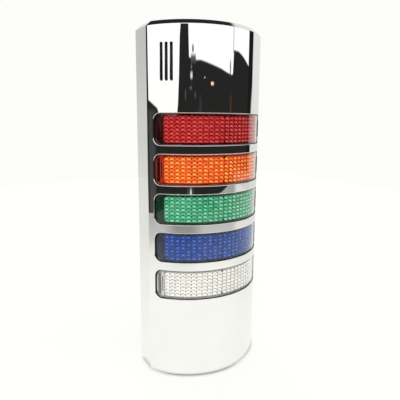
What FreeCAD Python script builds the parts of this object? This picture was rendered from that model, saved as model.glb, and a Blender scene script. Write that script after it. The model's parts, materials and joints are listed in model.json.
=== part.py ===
import FreeCAD, Part
import math
import os

os.makedirs("parts", exist_ok=True)
Vec = FreeCAD.Vector

# Slim wall light with five signal tiers and a sounder.  Millimetres, +Z up.
# The origin is the middle of the bottom end; the wall plane is at +Y, the curved front faces -Y.

# ---- outer form ----
width = 80.0              # across the flat side faces
depth = 39.0              # wall plane to the crown of the front
height = 215.0            # end face to end face
side_depth = 16.0         # flat side face, from the wall plane to the crease
wall = 2.5                # moulded wall of the cover
crease_r = 0.8            # small radius where a side face meets the curved front
bevel_drop = 3.2          # end bevel, measured along the height
bevel_inset = 3.5         # end bevel, measured inwards

# ---- windows and lenses ----
tier_colours = ["clear", "blue", "green", "amber", "red"]   # from the bottom up
tier_pitch = 23.6
window_height = 18.4
window_edge = 2.8         # side face to the end of a window, across the width
window_corner_r = 4.5
lens_gap = 0.15           # round the lens, in its window
lens_recess = 0.05        # lens face below the cover's face
lens_skin = 2.0
lens_lug = 1.5            # thickness of the lugs behind the cover's wall
lens_lug_lap = 2.0        # how far a lug reaches past the window's end
lens_lug_root = 3.0       # and along the lens, inwards from the window's end
lens_lug_half = 4.5       # half its height
lens_seat_gap = 0.1       # lug to cover wall
prism_pitch = 3.3         # ribs moulded on the back of the skin, along the arc
prism_depth = 0.7
prism_margin = 5.8        # plain band at each end of a lens, along the arc

# ---- sound slots ----
slot_count = 3
slot_width = 1.5
slot_length = 20.8
slot_pitch = 3.0          # along the arc
slot_middle_angle = 44.1  # degrees to the left of the crown
slot_top_drop = 12.5      # end face to the top of a slot
screen_thickness = 0.4
screen_lap = 2.0
screen_gap = 0.05

# ---- light frame ----
frame_gap = 0.15          # back of the frame to the lens lugs
baffle_gap = 0.3          # baffle edges to the cover's wall
frame_back_wall = 3.0
baffle_thickness = 1.5
ear_thickness = 2.2
ear_size = 8.0
ear_reach = 8.5           # from the end baffle to the far edge of an ear
ear_edge = 5.0            # board's side edge to the middle of an ear

# ---- board ----
board_thickness = 1.6
board_gap = 0.3           # board to the back of the frame
board_side_gap = 8.0      # side face of the body to the board's edge
board_tail = 17.75        # board below the light frame, for the terminals
board_head = 32.75        # board above the light frame, for the sounder and the settings
board_from_wall = 14.1    # wall plane to the back of the board

# ---- signal emitters ----
led_size = 5.0
led_height = 1.4
led_window = 3.6
led_window_height = 0.2
led_inner_side = 8.5      # inner pair, from the centre line
led_outer_edge = 15.0     # side face of the body to the outer pair
cup_small = 6.0           # square reflector cup, at the board
cup_large = 9.6           # and at its mouth

# ---- sounder ----
buzzer_r = 11.5
buzzer_height = 9.5
buzzer_rise = 20.75       # light frame's top to the middle of the sounder
buzzer_clearance = 1.2    # sounder's edge to the slot screen, sideways
buzzer_hole_r = 1.6
buzzer_hole_depth = 2.0

# ---- terminals ----
terminal_ways = 7         # five tiers, sounder, common
terminal_pitch = 3.5
terminal_height = 11.0
terminal_depth = 10.0
terminal_low = 1.0        # from the board's bottom edge
terminal_entry = 2.2
terminal_entry_depth = 6.0
terminal_screw_r = 1.3
terminal_screw_height = 2.0
terminal_well = 3.0       # depth of the well that a screw stands in

# ---- volume trimmer and mode switch ----
trimmer_size = 6.8
trimmer_height = 5.0
trimmer_edge = 8.0        # board's side edge to the middle of the trimmer
rotor_r = 2.3
rotor_fit = 0.08
rotor_height = 1.6
rotor_sink = 1.2
rotor_slot = 0.6
rotor_slot_length = 3.2
rotor_cross_length = 1.8
setting_rise = 20.75      # light frame's top to the middle of both settings
switch_spacing = 15.0     # middle of the trimmer to the middle of the switch
switch_ways = 2
switch_pitch = 2.54
switch_border = 1.4
switch_body_height = 6.2
switch_body_depth = 3.8
slider_width = 1.2
slider_length = 1.4
slider_stand = 0.8        # proud of the switch face
slider_sink = 1.6         # down in the switch
slider_gap = 0.1
slider_travel = 1.6

# ---- board parts at the back ----
capacitor_r = 4.0
capacitor_height = 8.5
capacitor_side = 14.0
capacitor_low = 14.0      # from the board's bottom edge
chip_length = 8.6
chip_width = 3.9
chip_height = 1.6
resistor_length = 3.2
resistor_width = 1.6
resistor_height = 0.6
resistor_pitch = 3.4

# ---- rear base ----
base_thickness = 3.0
base_gap = 0.3            # base edge to the cover
base_lip = 1.6
base_lip_height = 5.0
gasket_width = 1.6
gasket_height = 1.8
gasket_gap = 0.1
post_half = 3.4           # half the side of a square post
wall_hole_r = 2.25
wall_hole_edge = 8.5      # end face to the hole
wall_pad_r = 4.0
wall_pad_height = 1.5
wall_gasket_thickness = 0.8
wall_gasket_side = 6.0    # side face to the gasket's edge
wall_gasket_end = 15.0    # end face to the gasket's edge
wall_gasket_corner_r = 4.0
pocket_gap = 0.2          # round the wall gasket, in its pocket
entry_low = 25.0          # bottom end to the middle of the cable entry
entry_r = 6.5
bushing_bore_r = 4.0
bushing_lap = 1.8
bushing_lip = 1.6
bushing_gap = 0.1

# ---- fasteners ----
screw_r = 1.25
screw_fit = 0.05
head_r = 2.5
head_height = 1.6
head_bevel = 0.5
head_gap = 0.3            # round a head in its counterbore
cover_screw_edge = 16.0   # side face of the body to the screw's axis
cover_screw_back = 11.5   # wall plane to the screw's axis
cover_screw_length = 9.0
counterbore_depth = 1.9
pad_height = 2.0          # thickening of the bottom wall over a counterbore
boss_wall = 2.0
board_screw_length = 11.0
pilot_depth = 8.0         # holes for the board screws, down the posts

# ---- hooks at the top ----
hook_edge = 16.0          # side face of the body to the middle of a hook
hook_width = 14.0
hook_thickness = 2.2
hook_gap = 0.3
rib_thickness = 2.0
rib_drop = 6.3            # down from the inside of the top wall
rib_back = 9.5            # wall plane to the back of the rib

tolerance = 0.001         # lengths that are this near count as equal

# ---- worked out ----
half_width = width / 2
front_y = -depth / 2
rear_y = depth / 2
sagitta = depth - side_depth
front_r = (half_width ** 2 + sagitta ** 2) / (2 * sagitta)
arc_y = front_y + front_r                       # axis of the curved front
window_angle = math.asin((half_width - window_edge) / front_r)
tier_middles = [height / 2 + tier_pitch * (i - (len(tier_colours) - 1) / 2) for i in range(len(tier_colours))]
lug_r = front_r - wall - lens_seat_gap
frame_r = lug_r - lens_lug - frame_gap
baffle_r = front_r - wall - baffle_gap
board_back = rear_y - board_from_wall
board_front = board_back - board_thickness
board_half = half_width - board_side_gap
frame_back = board_front - board_gap
frame_floor = frame_back - frame_back_wall
frame_low = tier_middles[0] - tier_pitch / 2 - baffle_thickness / 2
frame_high = tier_middles[-1] + tier_pitch / 2 + baffle_thickness / 2
ear_front = board_front - ear_thickness
board_low = frame_low - board_tail
board_high = frame_high + board_head
ear_side = board_half - ear_edge
led_sides = [led_inner_side, half_width - led_outer_edge]
setting_z = frame_high + setting_rise
trimmer_side = board_half - trimmer_edge
switch_side = trimmer_side - switch_spacing
cover_screw_side = half_width - cover_screw_edge
hook_side = half_width - hook_edge
base_front = rear_y - base_thickness
pocket_floor = rear_y - wall_gasket_thickness
cover_screw_y = rear_y - cover_screw_back
front = Vec(0, -1, 0)
back = Vec(0, 1, 0)
up = Vec(0, 0, 1)


def box(x_low, x_high, y_low, y_high, z_low, z_high):
    corner = Vec(x_low, y_low, z_low)
    return Part.makeBox(x_high - x_low, y_high - y_low, z_high - z_low, corner)


def cylinder(radius, length, x, y, z, direction):
    return Part.makeCylinder(radius, length, Vec(x, y, z), direction)


def on_arc(radius, angle, z=0.0):
    return Vec(radius * math.sin(angle), arc_y - radius * math.cos(angle), z)


def d_wire(inset, z, corner_r, back_y):
    """Closed D section: flat back, two flat sides, curved front, small corners at the creases."""
    radius = front_r - inset
    half = half_width - inset
    rear = Vec(half, back_y, z)
    crown = Vec(0, arc_y - radius, z)

    def mirrored(point):
        return Vec(-point.x, point.y, point.z)

    if corner_r == 0:
        crease = Vec(half, arc_y - math.sqrt(radius ** 2 - half ** 2), z)
        return Part.Wire([
            Part.LineSegment(mirrored(rear), mirrored(crease)).toShape(),
            Part.Arc(mirrored(crease), crown, crease).toShape(),
            Part.LineSegment(crease, rear).toShape(),
            Part.LineSegment(rear, mirrored(rear)).toShape(),
        ])
    corner_x = half - corner_r
    corner_y = arc_y - math.sqrt((radius - corner_r) ** 2 - corner_x ** 2)
    to_arc = Vec(corner_x, corner_y - arc_y, 0).normalize()
    to_corner = (to_arc + Vec(1, 0, 0)).normalize()
    side = Vec(half, corner_y, z)
    middle = Vec(corner_x, corner_y, z) + to_corner * corner_r
    start = Vec(0, arc_y, z) + to_arc * radius
    return Part.Wire([
        Part.LineSegment(mirrored(rear), mirrored(side)).toShape(),
        Part.Arc(mirrored(side), mirrored(middle), mirrored(start)).toShape(),
        Part.Arc(mirrored(start), crown, start).toShape(),
        Part.Arc(start, middle, side).toShape(),
        Part.LineSegment(side, rear).toShape(),
        Part.LineSegment(rear, mirrored(rear)).toShape(),
    ])


def bevelled_body(inset, bevel_share, corner_r, back_y):
    """The whole outer form, moved in by inset, with the end bevels at a share of their size."""
    low = inset
    high = height - inset
    drop = bevel_drop * bevel_share
    cut_in = bevel_inset * bevel_share
    low_rim = d_wire(inset, low + drop, corner_r, back_y)
    high_rim = d_wire(inset, high - drop, corner_r, back_y)
    middle = Part.Face(low_rim).extrude(Vec(0, 0, high - low - 2 * drop))
    low_end = Part.makeLoft([d_wire(inset + cut_in, low, corner_r, back_y), low_rim], True, True)
    high_end = Part.makeLoft([high_rim, d_wire(inset + cut_in, high, corner_r, back_y)], True, True)
    return low_end.multiFuse([middle, high_end])


def inner_bevel_share(inset):
    """Share that keeps the wall as thick behind the bevel as it is elsewhere."""
    slope = math.hypot(bevel_drop, bevel_inset)
    return 1 - inset * (bevel_drop + bevel_inset - slope) / (bevel_drop * bevel_inset)


def inside_body(inset, back_y):
    return bevelled_body(inset, inner_bevel_share(inset), 0, back_y)


def ring_sector(inner_r, outer_r, half_angle, z_low, z_high, corner_r, middle_angle=0.0):
    """Piece of a tube about the front's axis, with its four radial edges rounded."""
    first = middle_angle - half_angle
    last = middle_angle + half_angle
    edges = [
        Part.Arc(on_arc(outer_r, first), on_arc(outer_r, middle_angle), on_arc(outer_r, last)).toShape(),
        Part.LineSegment(on_arc(outer_r, last), on_arc(inner_r, last)).toShape(),
        Part.Arc(on_arc(inner_r, last), on_arc(inner_r, middle_angle), on_arc(inner_r, first)).toShape(),
        Part.LineSegment(on_arc(inner_r, first), on_arc(outer_r, first)).toShape(),
    ]
    solid = Part.Face(Part.Wire(edges)).extrude(Vec(0, 0, z_high - z_low))
    solid.translate(Vec(0, 0, z_low))
    if corner_r == 0:
        return solid
    return solid.makeFillet(corner_r, [edge for edge in solid.Edges if is_radial(edge)])


def is_radial(edge):
    if not isinstance(edge.Curve, Part.Line):
        return False
    start = edge.Vertexes[0].Point
    end = edge.Vertexes[-1].Point
    return abs(start.z - end.z) < tolerance


def window_block(middle, inner_r, outer_r, grow, corner_r):
    """Window form at one tier, wider all round by grow."""
    angle = window_angle + grow / front_r
    half = window_height / 2 + grow
    return ring_sector(inner_r, outer_r, angle, middle - half, middle + half, corner_r)


def segment_block(radius, chord_y, z_low, z_high):
    """Circular segment between the curved front and a flat back at chord_y."""
    angle = math.acos((arc_y - chord_y) / radius)
    arc = Part.Arc(on_arc(radius, -angle), on_arc(radius, 0), on_arc(radius, angle)).toShape()
    chord = Part.LineSegment(on_arc(radius, angle), on_arc(radius, -angle)).toShape()
    solid = Part.Face(Part.Wire([arc, chord])).extrude(Vec(0, 0, z_high - z_low))
    solid.translate(Vec(0, 0, z_low))
    return solid


def screw(x, y, z, direction, length):
    """Pan-head screw; the point is under the head and direction runs down the shank."""
    start = Vec(x, y, z)
    shank = Part.makeCylinder(screw_r, length, start, direction)
    top = start - direction * head_height
    return shank.fuse(Part.makeCone(head_r - head_bevel, head_r, head_height, top, direction))


def mirrored_pair(side):
    return [-side, side]


def fuse_all(first, others):
    return first.multiFuse(others).removeSplitter()


# ---- cover ----
def slot_angle(index):
    offset = (index - (slot_count - 1) / 2) * slot_pitch / front_r
    return -math.radians(slot_middle_angle) + offset


def slot_cutter(index):
    z_high = height - slot_top_drop
    z_low = z_high - slot_length
    end_r = slot_width / 2
    long_wall = wall * 3
    middle = box(-end_r, end_r, front_y - wall, front_y + long_wall, z_low + end_r, z_high - end_r)
    low_end = cylinder(end_r, long_wall + wall, 0, front_y - wall, z_low + end_r, back)
    high_end = cylinder(end_r, long_wall + wall, 0, front_y - wall, z_high - end_r, back)
    cutter = fuse_all(middle, [low_end, high_end])
    cutter.rotate(Vec(0, arc_y, 0), up, math.degrees(slot_angle(index)))
    return cutter


def cover_bosses():
    bosses = []
    half = head_r + boss_wall
    for x in mirrored_pair(cover_screw_side):
        bosses.append(box(x - half, x + half, cover_screw_y - half, cover_screw_y + half,
                          wall / 2, wall + pad_height))
    for x in mirrored_pair(hook_side):
        rib_front = rear_y - rib_back - rib_thickness
        rib = box(x - hook_width / 2, x + hook_width / 2, rib_front, rear_y - rib_back,
                  height - wall - rib_drop, height - wall / 2)
        bosses.append(rib)
    return bosses


def cover_cutters():
    cutters = []
    for middle in tier_middles:
        cutters.append(window_block(middle, front_r - wall * 2, front_r + wall, 0, window_corner_r))
    for index in range(slot_count):
        cutters.append(slot_cutter(index))
    for x in mirrored_pair(cover_screw_side):
        cutters.append(cylinder(head_r + head_gap, counterbore_depth, x, cover_screw_y, 0, up))
        cutters.append(cylinder(screw_r + head_gap, pad_height + wall, x, cover_screw_y, 0, up))
    return cutters


def make_front_cover():
    outer = bevelled_body(0, 1, crease_r, rear_y)
    shell = outer.cut(inside_body(wall, rear_y + wall))
    return shell.multiFuse(cover_bosses()).cut(cover_cutters())


# ---- lenses ----
def prism_relief(middle):
    """What is cut from the back of a lens: its front is a saw edge that leaves upright prisms on the skin."""
    skin_r = front_r - lens_skin
    valley_r = skin_r - prism_depth
    back_r = lug_r - lens_lug - wall
    end_angle = window_angle + lens_lug_lap / front_r
    prism_angle = window_angle - prism_margin / front_r
    count = int(2 * prism_angle * front_r / prism_pitch)
    step = 2 * prism_angle / count
    points = [on_arc(back_r, -end_angle), on_arc(skin_r, -end_angle), on_arc(skin_r, -prism_angle)]
    for index in range(count):
        points.append(on_arc(valley_r, -prism_angle + (index + 0.5) * step))
        points.append(on_arc(skin_r, -prism_angle + (index + 1) * step))
    points += [on_arc(skin_r, end_angle), on_arc(back_r, end_angle)]
    edges = [Part.LineSegment(a, b).toShape() for a, b in zip(points[:-1], points[1:])]
    edges.append(Part.Arc(points[-1], on_arc(back_r, 0), points[0]).toShape())
    relief = Part.Face(Part.Wire(edges)).extrude(Vec(0, 0, 2 * window_height))
    relief.translate(Vec(0, 0, middle - window_height))
    return relief


def lens_lugs(middle):
    """A lug at each end, from the back of the skin to behind the cover's wall."""
    root_angle = window_angle - lens_lug_root / front_r
    tip_angle = window_angle + lens_lug_lap / front_r
    inner_angle = window_angle - lens_gap / front_r
    z_low = middle - lens_lug_half
    z_high = middle + lens_lug_half
    back_r = lug_r - lens_lug
    lugs = []
    for side in (-1, 1):
        foot = ring_sector(back_r, lug_r, (tip_angle - root_angle) / 2, z_low, z_high, 0,
                           side * (tip_angle + root_angle) / 2)
        neck = ring_sector(back_r, front_r - lens_skin / 2, (inner_angle - root_angle) / 2, z_low, z_high, 0,
                           side * (inner_angle + root_angle) / 2)
        lugs += [foot, neck]
    return lugs


def make_lens(middle):
    back_r = front_r - lens_skin - prism_depth * 2
    plate = window_block(middle, back_r, front_r - lens_recess, -lens_gap, window_corner_r - lens_gap)
    return plate.cut(prism_relief(middle)).multiFuse(lens_lugs(middle)).removeSplitter()


# ---- light frame ----
def reflector_cup(x, z):
    """Square cup through the frame's back wall, narrow at the board and wide at its mouth."""
    wide = cup_large / 2
    narrow = cup_small / 2
    return Part.makeWedge(x - wide, frame_floor, z - wide, z - narrow, x - narrow,
                          x + wide, frame_back, z + wide, z + narrow, x + narrow)


def post_places():
    """Four corners where the base's posts carry the board and the frame's ears."""
    levels = [frame_low - ear_reach + ear_size / 2, frame_high + ear_reach - ear_size / 2]
    return [(x, z) for z in levels for x in mirrored_pair(ear_side)]


def board_screw_places():
    """Two corners, across a diagonal."""
    return post_places()[1:3]


def frame_ears():
    """Tabs that stand on the board at the frame's ends, over the posts."""
    spans = [
        (frame_low - ear_reach, frame_low + baffle_thickness),
        (frame_high - baffle_thickness, frame_high + ear_reach),
    ]
    ears = []
    for z_low, z_high in spans:
        for x in mirrored_pair(ear_side):
            ears.append(box(x - ear_size / 2, x + ear_size / 2, ear_front, board_front, z_low, z_high))
    return ears


def frame_baffles():
    """Walls between the tiers, and one at each end, that keep one colour's light out of the next window."""
    levels = [frame_low] + [middle + (tier_pitch - baffle_thickness) / 2 for middle in tier_middles]
    return [segment_block(baffle_r, frame_floor, z, z + baffle_thickness) for z in levels]


def make_light_frame():
    floor_half = math.sqrt(frame_r ** 2 - (arc_y - frame_floor) ** 2)
    plate = box(-floor_half, floor_half, frame_floor, frame_back, frame_low, frame_high)
    frame = plate.multiFuse(frame_ears() + frame_baffles())
    cutters = []
    for middle in tier_middles:
        for x in led_places():
            cutters.append(reflector_cup(x, middle))
    for x, z in board_screw_places():
        cutters.append(cylinder(screw_r + head_gap, ear_thickness, x, ear_front, z, back))
    return frame.cut(cutters)


def led_places():
    return [sign * side for side in led_sides for sign in (-1, 1)]


def make_leds(middle):
    emitters = []
    for x in led_places():
        half = led_size / 2
        package = box(x - half, x + half, board_front - led_height, board_front, middle - half, middle + half)
        half = led_window / 2
        face = board_front - led_height
        window = box(x - half, x + half, face - led_window_height, face, middle - half, middle + half)
        emitters.append(package.fuse(window))
    return Part.makeCompound(emitters)


# ---- board ----
def make_main_board():
    board = box(-board_half, board_half, board_front, board_back, board_low, board_high)
    holes = []
    for x, z in board_screw_places():
        holes.append(cylinder(screw_r + head_gap, board_thickness, x, board_front, z, back))
    return board.cut(holes)


def make_buzzer():
    """Sounder behind the slots, as far to the left as the curve of the slot screen lets it go."""
    face = board_front - buzzer_height
    screen_r = front_r - wall - screen_gap - screen_thickness
    x = buzzer_r + buzzer_clearance - math.sqrt(screen_r ** 2 - (arc_y - face) ** 2)
    z = frame_high + buzzer_rise
    case = cylinder(buzzer_r, buzzer_height, x, board_front, z, front)
    return case.cut(cylinder(buzzer_hole_r, buzzer_hole_depth, x, face, z, back))


def make_slot_screen():
    outer_r = front_r - wall - screen_gap
    z_high = height - slot_top_drop + screen_lap
    z_low = z_high - slot_length - 2 * screen_lap
    spread = (slot_pitch * (slot_count - 1) + slot_width) / 2 + screen_lap
    return ring_sector(outer_r - screen_thickness, outer_r, spread / front_r, z_low, z_high,
                       screen_lap / 2, -math.radians(slot_middle_angle))


def terminal_places():
    middle = (terminal_ways - 1) / 2
    return [(index - middle) * terminal_pitch for index in range(terminal_ways)]


def make_terminal_block():
    half = terminal_ways * terminal_pitch / 2
    z_low = board_low + terminal_low
    z_high = z_low + terminal_height
    face = board_front - terminal_depth
    block = box(-half, half, face, board_front, z_low, z_high)
    cutters = []
    for x in terminal_places():
        half_entry = terminal_entry / 2
        entry_y = board_front - terminal_depth / 2
        cutters.append(box(x - half_entry, x + half_entry, entry_y - half_entry, entry_y + half_entry,
                           z_low, z_low + terminal_entry_depth))
        side = terminal_screw_r + screw_fit
        z = (z_low + z_high) / 2
        cutters.append(box(x - side, x + side, face, face + terminal_well, z - side, z + side))
    return block.cut(cutters)


def make_terminal_screws():
    z = board_low + terminal_low + terminal_height / 2
    seat = board_front - terminal_depth + terminal_well
    return Part.makeCompound([cylinder(terminal_screw_r, terminal_screw_height, x, seat, z, front)
                              for x in terminal_places()])


# ---- settings ----
def make_trimmer_body():
    half = trimmer_size / 2
    face = board_front - trimmer_height
    block = box(trimmer_side - half, trimmer_side + half, face, board_front,
                setting_z - half, setting_z + half)
    well = cylinder(rotor_r + rotor_fit, rotor_sink + rotor_fit, trimmer_side, face, setting_z, back)
    return block.cut(well)


def make_trimmer_rotor():
    seat = board_front - trimmer_height + rotor_sink
    top = seat - rotor_height
    disc = cylinder(rotor_r, rotor_height, trimmer_side, seat, setting_z, front)
    cutters = []
    for x_length, z_length in [(rotor_slot, rotor_slot_length), (rotor_cross_length, rotor_slot)]:
        cutters.append(box(trimmer_side - x_length / 2, trimmer_side + x_length / 2, top, top + rotor_slot,
                           setting_z - z_length / 2, setting_z + z_length / 2))
    return disc.cut(cutters)


def slider_places():
    middle = (switch_ways - 1) / 2
    return [switch_side + (index - middle) * switch_pitch for index in range(switch_ways)]


def make_switch_body():
    half = switch_ways * switch_pitch / 2 + switch_border
    face = board_front - switch_body_depth
    z_half = switch_body_height / 2
    block = box(switch_side - half, switch_side + half, face, board_front,
                setting_z - z_half, setting_z + z_half)
    slot_half = (slider_length + slider_travel) / 2 + slider_gap
    cutters = []
    for x in slider_places():
        side = slider_width / 2 + slider_gap
        cutters.append(box(x - side, x + side, face, face + slider_sink + slider_gap,
                           setting_z - slot_half, setting_z + slot_half))
    return block.cut(cutters)


def make_switch_slider(x):
    face = board_front - switch_body_depth
    z_low = setting_z - (slider_length + slider_travel) / 2
    return box(x - slider_width / 2, x + slider_width / 2, face - slider_stand, face + slider_sink,
               z_low, z_low + slider_length)


# ---- parts at the back of the board ----
def make_capacitors():
    z = board_low + capacitor_low
    cans = []
    for x in mirrored_pair(capacitor_side / 2):
        cans.append(cylinder(capacitor_r, capacitor_height, x, board_back, z, back))
    return Part.makeCompound(cans)


def make_driver_chips():
    chips = []
    for middle in tier_middles:
        chips.append(box(-chip_length / 2, chip_length / 2, board_back, board_back + chip_height,
                         middle - chip_width / 2, middle + chip_width / 2))
    return Part.makeCompound(chips)


def make_resistors():
    pieces = []
    for middle in tier_middles:
        for index in range(len(led_sides)):
            for x in mirrored_pair(chip_length + index * resistor_pitch):
                pieces.append(box(x - resistor_width / 2, x + resistor_width / 2, board_back,
                                  board_back + resistor_height, middle - resistor_length / 2,
                                  middle + resistor_length / 2))
    return Part.makeCompound(pieces)


# ---- rear base and seals ----
def inside_ring(outer_inset, inner_inset, y_low, y_high):
    slab = box(-width, width, y_low, y_high, -height, 2 * height)
    outer = inside_body(outer_inset, y_high + wall).common(slab)
    return outer.cut(inside_body(inner_inset, y_high + wall))


def base_additions():
    lip_inset = wall + base_gap + gasket_width + 2 * gasket_gap
    additions = [inside_ring(lip_inset, lip_inset + base_lip, base_front - base_lip_height, base_front)]
    for x, z in post_places():
        additions.append(box(x - post_half, x + post_half, board_back, base_front,
                             z - post_half, z + post_half))
    boss_low = wall + pad_height + head_gap
    boss_high = boss_low + cover_screw_length
    boss_half = screw_r + boss_wall
    for x in mirrored_pair(cover_screw_side):
        additions.append(box(x - boss_half, x + boss_half, cover_screw_y - boss_half, base_front,
                             boss_low, boss_high))
    rib_low = height - wall - rib_drop
    rib_front = rear_y - rib_back - rib_thickness
    for x in mirrored_pair(hook_side):
        low = x - hook_width / 2
        high = x + hook_width / 2
        arm_front = rib_front - hook_gap - hook_thickness
        arm_high = rib_low - hook_gap
        additions.append(box(low, high, arm_front, base_front, arm_high - hook_thickness, arm_high))
        additions.append(box(low, high, arm_front, rib_front - hook_gap,
                             arm_high, height - wall - hook_thickness))
    for z in wall_hole_places():
        additions.append(cylinder(wall_pad_r, wall_pad_height, 0, base_front, z, front))
    return additions


def wall_hole_places():
    return [wall_hole_edge, height - wall_hole_edge]


def wall_gasket_block(grow):
    half = half_width - wall_gasket_side + grow
    block = box(-half, half, pocket_floor, rear_y, wall_gasket_end - grow, height - wall_gasket_end + grow)
    corners = [edge for edge in block.Edges if abs(edge.Length - wall_gasket_thickness) < tolerance]
    return block.makeFillet(wall_gasket_corner_r + grow, corners)


def make_rear_base():
    slab = box(-width, width, base_front, rear_y, -height, 2 * height)
    plate = inside_body(wall + base_gap, rear_y + wall).common(slab)
    base = plate.multiFuse(base_additions())
    cutters = [wall_gasket_block(pocket_gap)]
    cutters.append(cylinder(entry_r, base_thickness, 0, base_front, entry_low, back))
    for z in wall_hole_places():
        cutters.append(cylinder(wall_hole_r, base_thickness + wall_pad_height,
                                0, base_front - wall_pad_height, z, back))
    for x, z in board_screw_places():
        cutters.append(cylinder(screw_r + screw_fit, pilot_depth, x, board_back, z, back))
    for x in mirrored_pair(cover_screw_side):
        boss_low = wall + pad_height + head_gap
        cutters.append(cylinder(screw_r + screw_fit, cover_screw_length, x, cover_screw_y, boss_low, up))
    return base.cut(cutters).removeSplitter()


def make_wall_gasket():
    cutter = cylinder(entry_r + bushing_lap + pocket_gap, wall_gasket_thickness,
                      0, pocket_floor, entry_low, back)
    return wall_gasket_block(0).cut(cutter)


def make_cover_gasket():
    outer = wall + gasket_gap
    return inside_ring(outer, outer + gasket_width, base_front - gasket_height, base_front)


def make_cable_bushing():
    body = cylinder(entry_r - bushing_gap, rear_y - base_front, 0, base_front, entry_low, back)
    inner_lip = cylinder(entry_r + bushing_lap, bushing_lip, 0, base_front, entry_low, front)
    outer_lip = cylinder(entry_r + bushing_lap, wall_gasket_thickness, 0, pocket_floor, entry_low, back)
    bore = cylinder(bushing_bore_r, rear_y - base_front + bushing_lip,
                    0, base_front - bushing_lip, entry_low, back)
    return fuse_all(body, [inner_lip, outer_lip]).cut(bore)


# ---- fasteners ----
def make_cover_screws():
    return Part.makeCompound([screw(x, cover_screw_y, counterbore_depth, up, cover_screw_length + pad_height)
                              for x in mirrored_pair(cover_screw_side)])


def make_board_screws():
    return Part.makeCompound([screw(x, ear_front, z, back, board_screw_length)
                              for x, z in board_screw_places()])


nodes = {
    "front_cover": make_front_cover(),
    "light_frame": make_light_frame(),
    "main_board": make_main_board(),
    "buzzer": make_buzzer(),
    "slot_screen": make_slot_screen(),
    "terminal_block": make_terminal_block(),
    "terminal_screws": make_terminal_screws(),
    "trimmer_body": make_trimmer_body(),
    "trimmer_rotor": make_trimmer_rotor(),
    "switch_body": make_switch_body(),
    "capacitors": make_capacitors(),
    "driver_chips": make_driver_chips(),
    "resistors": make_resistors(),
    "rear_base": make_rear_base(),
    "cover_gasket": make_cover_gasket(),
    "wall_gasket": make_wall_gasket(),
    "cable_bushing": make_cable_bushing(),
    "cover_screws": make_cover_screws(),
    "board_screws": make_board_screws(),
}
for colour, tier_middle in zip(tier_colours, tier_middles):
    nodes["lens_" + colour] = make_lens(tier_middle)
    nodes["leds_" + colour] = make_leds(tier_middle)
for number, slider_x in enumerate(slider_places(), start=1):
    nodes["switch_slider_" + str(number)] = make_switch_slider(slider_x)

for name, shape in nodes.items():
    shape.exportStep("parts/" + name + ".step")
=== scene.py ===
import bpy
import json
import math
from mathutils import Matrix, Vector
from mathutils.geometry import delaunay_2d_cdt


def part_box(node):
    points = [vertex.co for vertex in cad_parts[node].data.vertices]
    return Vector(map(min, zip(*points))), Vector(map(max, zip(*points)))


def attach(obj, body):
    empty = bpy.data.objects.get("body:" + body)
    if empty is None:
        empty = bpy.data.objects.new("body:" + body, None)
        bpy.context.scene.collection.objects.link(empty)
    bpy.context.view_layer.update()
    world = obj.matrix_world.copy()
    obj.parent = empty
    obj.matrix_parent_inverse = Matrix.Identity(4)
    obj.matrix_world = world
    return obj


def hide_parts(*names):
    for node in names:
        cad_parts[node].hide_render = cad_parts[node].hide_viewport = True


# Slim chrome signal light with five coloured windows and sound slots, standing on a pale table.
# Shapes are worked out in millimetres and turned into metres when a mesh is made.

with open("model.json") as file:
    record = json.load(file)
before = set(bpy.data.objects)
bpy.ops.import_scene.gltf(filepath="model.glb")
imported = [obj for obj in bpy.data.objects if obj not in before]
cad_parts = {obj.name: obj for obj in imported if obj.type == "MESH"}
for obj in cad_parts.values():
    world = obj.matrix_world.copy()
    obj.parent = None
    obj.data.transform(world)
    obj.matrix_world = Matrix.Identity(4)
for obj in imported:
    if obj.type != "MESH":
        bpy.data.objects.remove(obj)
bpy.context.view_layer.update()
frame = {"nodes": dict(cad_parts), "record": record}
mm = 0.001


# sizes that the pieces share, read from the frame where it gives them
def nodeBox(node):
    low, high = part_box(node)
    return low / mm, high / mm


_, coverHigh = nodeBox("front_cover")
body = {
    "halfWidth": coverHigh.x,
    "height": coverHigh.z,
    "rearY": coverHigh.y,
    "frontY": -coverHigh.y,   # crown of the curve
    "sideDepth": 16.0,        # flat side face, wall plane to crease
    "wall": 2.5,
    "creaseRadius": 0.8,
    "innerCrease": 0.3,
    "bevelDrop": 3.2,         # bevel at the top, along the height
    "bevelInset": 3.5,        # and inwards
    "footDrop": 0.9,          # bevel at the foot
    "footInset": 1.0,
}
sagitta = body["rearY"] - body["sideDepth"] - body["frontY"]
frontRadius = (body["halfWidth"] ** 2 + sagitta ** 2) / (2 * sagitta)
arcY = body["frontY"] + frontRadius

tierColours = ["clear", "blue", "green", "amber", "red"]
tierMiddles = [sum(corner.z for corner in nodeBox("lens_" + colour)) / 2 for colour in tierColours]
window = {
    "halfHeight": 9.2,
    "edge": 2.2,              # side face to the end of a window
    "corner": 4.5,
    "lip": 0.32,              # rounding round each window
}
windowHalf = math.asin((body["halfWidth"] - window["edge"]) / frontRadius) * frontRadius   # along the curve


# A skin gathers a mesh: corners in metres, faces, a normal for each corner of a face, and for each
# face the number of its finish.
def newSkin():
    return {"points": [], "index": {}, "faces": [], "normals": [], "finishes": []}


def addCorner(skin, point):
    key = (round(point.x, 3), round(point.y, 3), round(point.z, 3))
    if key not in skin["index"]:
        skin["index"][key] = len(skin["points"])
        skin["points"].append(point * mm)
    return skin["index"][key]


def addFace(skin, points, normals, finish=0):
    # corners that fall together are dropped, and the face is turned to its normals' side
    corners = [addCorner(skin, point) for point in points]
    kept = [i for i in range(len(corners)) if corners[i] != corners[i - 1]]
    if len(kept) < 3:
        return
    across = Vector()
    for i, k in enumerate(kept):
        across += points[kept[i - 1]].cross(points[k])
    if across.dot(sum((normals[k] for k in kept), Vector())) < 0:
        kept.reverse()
    skin["faces"].append([corners[k] for k in kept])
    skin["normals"] += [normals[k].normalized() for k in kept]
    skin["finishes"].append(finish)


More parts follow.
